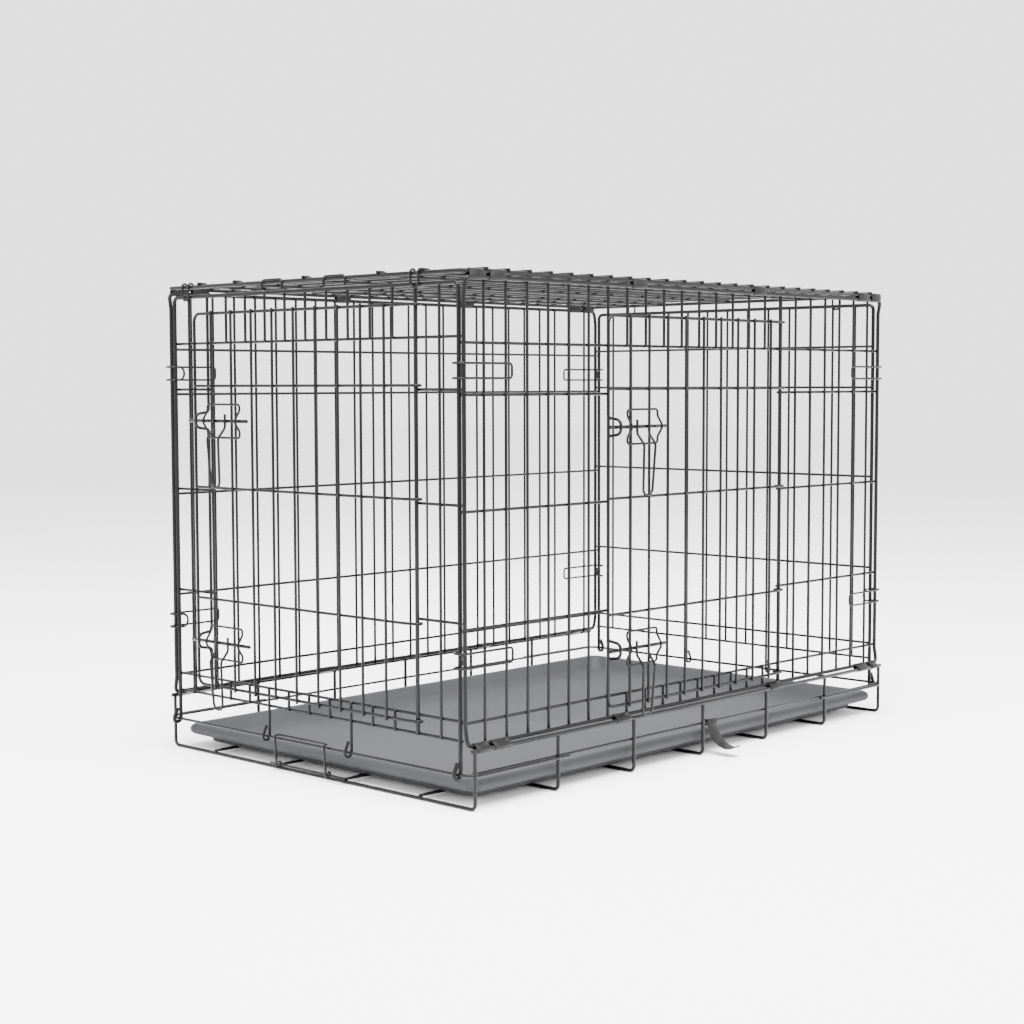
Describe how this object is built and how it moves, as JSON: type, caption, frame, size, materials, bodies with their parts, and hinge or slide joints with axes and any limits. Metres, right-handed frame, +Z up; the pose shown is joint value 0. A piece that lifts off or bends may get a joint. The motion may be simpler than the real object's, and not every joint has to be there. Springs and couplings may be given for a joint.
{
  "type": "wire dog crate",
  "caption": "Black folding wire dog crate with a front door, an end door, slide-bolt latches and a slide-out floor tray.",
  "frame": {"origin": "on the underside of the middle floor wire, halfway along the crate and halfway across it", "axes": "+X along the long sides away from the end door, +Y from the front door towards the back, +Z up"},
  "size_m": [0.96, 0.6453, 0.6595],
  "materials": {
    "black_wire": "satin black coating on steel wire",
    "black_frame": "satin black coating on thicker steel wire",
    "black_sheet": "glossy black coating on bent sheet steel",
    "grey_plastic": "fine-grained dark grey moulded plastic"
  },
  "bodies": {
    "crate": {"back_panel": "black_wire", "base_panel": "black_frame", "clip_back_high_1": "black_sheet", "clip_back_high_2": "black_sheet", "clip_back_high_3": "black_sheet", "clip_back_high_4": "black_sheet", "clip_back_high_5": "black_sheet", "clip_back_high_6": "black_sheet", "clip_back_low_1": "black_sheet", "clip_back_low_2": "black_sheet", "clip_back_low_3": "black_sheet", "clip_back_low_4": "black_sheet", "clip_back_low_5": "black_sheet", "clip_back_low_6": "black_sheet", "clip_front_high_1": "black_sheet", "clip_front_high_2": "black_sheet", "clip_front_high_3": "black_sheet", "clip_front_high_4": "black_sheet", "clip_front_high_5": "black_sheet", "clip_front_high_6": "black_sheet", "clip_front_low_1": "black_sheet", "clip_front_low_2": "black_sheet", "clip_front_low_3": "black_sheet", "clip_front_low_4": "black_sheet", "clip_front_low_5": "black_sheet", "clip_front_low_6": "black_sheet", "front_panel": "black_wire", "ring_back_left_lower": "black_wire", "ring_back_left_upper": "black_wire", "ring_back_right_lower": "black_wire", "ring_back_right_upper": "black_wire", "ring_front_left_lower": "black_wire", "ring_front_left_upper": "black_wire", "ring_front_right_lower": "black_wire", "ring_front_right_upper": "black_wire", "top_loop_left_1": "black_wire", "top_loop_left_2": "black_wire", "top_loop_right_1": "black_wire", "top_loop_right_2": "black_wire", "top_panel": "black_wire"},
    "left_end": {"left_end_panel": "black_wire"},
    "right_end": {"right_end_panel": "black_wire"},
    "front_door": {"front_door": "black_wire", "front_upper_guide": "black_wire", "front_lower_guide": "black_wire"},
    "left_door": {"left_door": "black_wire", "left_upper_guide": "black_wire", "left_lower_guide": "black_wire"},
    "tray": {"tray": "grey_plastic"},
    "tray_gate": {"tray_gate": "black_wire"},
    "tray_clip": {"tray_clip": "black_sheet"},
    "front_upper_bolt": {"front_upper_rod": "black_frame"},
    "front_upper_handle": {"front_upper_handle": "black_frame"},
    "front_lower_bolt": {"front_lower_rod": "black_frame"},
    "front_lower_handle": {"front_lower_handle": "black_frame"},
    "left_upper_bolt": {"left_upper_rod": "black_frame"},
    "left_upper_handle": {"left_upper_handle": "black_frame"},
    "left_lower_bolt": {"left_lower_rod": "black_frame"},
    "left_lower_handle": {"left_lower_handle": "black_frame"}
  },
  "joints": [
    {"name": "left_end_fold", "type": "hinge", "parent": "crate", "child": "left_end", "pos_m": [-0.4626, 0, 0.0445], "axis": [0, -1, 0], "range_deg": [-88, 0]},
    {"name": "right_end_fold", "type": "hinge", "parent": "crate", "child": "right_end", "pos_m": [0.4626, 0, 0.0445], "axis": [0, 1, 0], "range_deg": [-80, 0]},
    {"name": "front_door_swing", "type": "hinge", "parent": "crate", "child": "front_door", "pos_m": [0.1946, -0.288, 0.3], "axis": [0, 0, 1], "range_deg": [0, 115]},
    {"name": "left_door_swing", "type": "hinge", "parent": "left_end", "child": "left_door", "pos_m": [-0.457, -0.20571, 0.3], "axis": [0, 0, 1], "range_deg": [0, 115]},
    {"name": "front_upper_bolt_slide", "type": "slide", "parent": "front_door", "child": "front_upper_bolt", "axis": [1, 0, 0], "range_m": [-0.0085, 0.0185]},
    {"name": "front_upper_handle_swing", "type": "hinge", "parent": "front_upper_bolt", "child": "front_upper_handle", "pos_m": [-0.1426, -0.3026, 0.459], "axis": [-1, 0, 0], "range_deg": [0, 100]},
    {"name": "front_lower_bolt_slide", "type": "slide", "parent": "front_door", "child": "front_lower_bolt", "axis": [1, 0, 0], "range_m": [-0.0085, 0.0185]},
    {"name": "front_lower_handle_swing", "type": "hinge", "parent": "front_lower_bolt", "child": "front_lower_handle", "pos_m": [-0.1426, -0.3026, 0.168], "axis": [-1, 0, 0], "range_deg": [0, 100]},
    {"name": "left_upper_bolt_slide", "type": "slide", "parent": "left_door", "child": "left_upper_bolt", "axis": [0, -1, 0], "range_m": [-0.0085, 0.018]},
    {"name": "left_upper_handle_swing", "type": "hinge", "parent": "left_upper_bolt", "child": "left_upper_handle", "pos_m": [-0.4716, 0.164, 0.466], "axis": [0, 1, 0], "range_deg": [0, 100]},
    {"name": "left_lower_bolt_slide", "type": "slide", "parent": "left_door", "child": "left_lower_bolt", "axis": [0, -1, 0], "range_m": [-0.0085, 0.018]},
    {"name": "left_lower_handle_swing", "type": "hinge", "parent": "left_lower_bolt", "child": "left_lower_handle", "pos_m": [-0.4716, 0.164, 0.163], "axis": [0, 1, 0], "range_deg": [0, 100]},
    {"name": "tray_slide", "type": "slide", "parent": "crate", "child": "tray", "axis": [1, 0, 0], "range_m": [0, 0.6]},
    {"name": "tray_gate_swing", "type": "hinge", "parent": "crate", "child": "tray_gate", "pos_m": [-0.462, 0.0075, 0.0091], "axis": [0, -1, 0], "range_deg": [0, 86]},
    {"name": "tray_clip_lift", "type": "hinge", "parent": "crate", "child": "tray_clip", "pos_m": [0.0235, -0.2953, 0.045], "axis": [-1, 0, 0], "range_deg": [0, 65]}
  ]
}
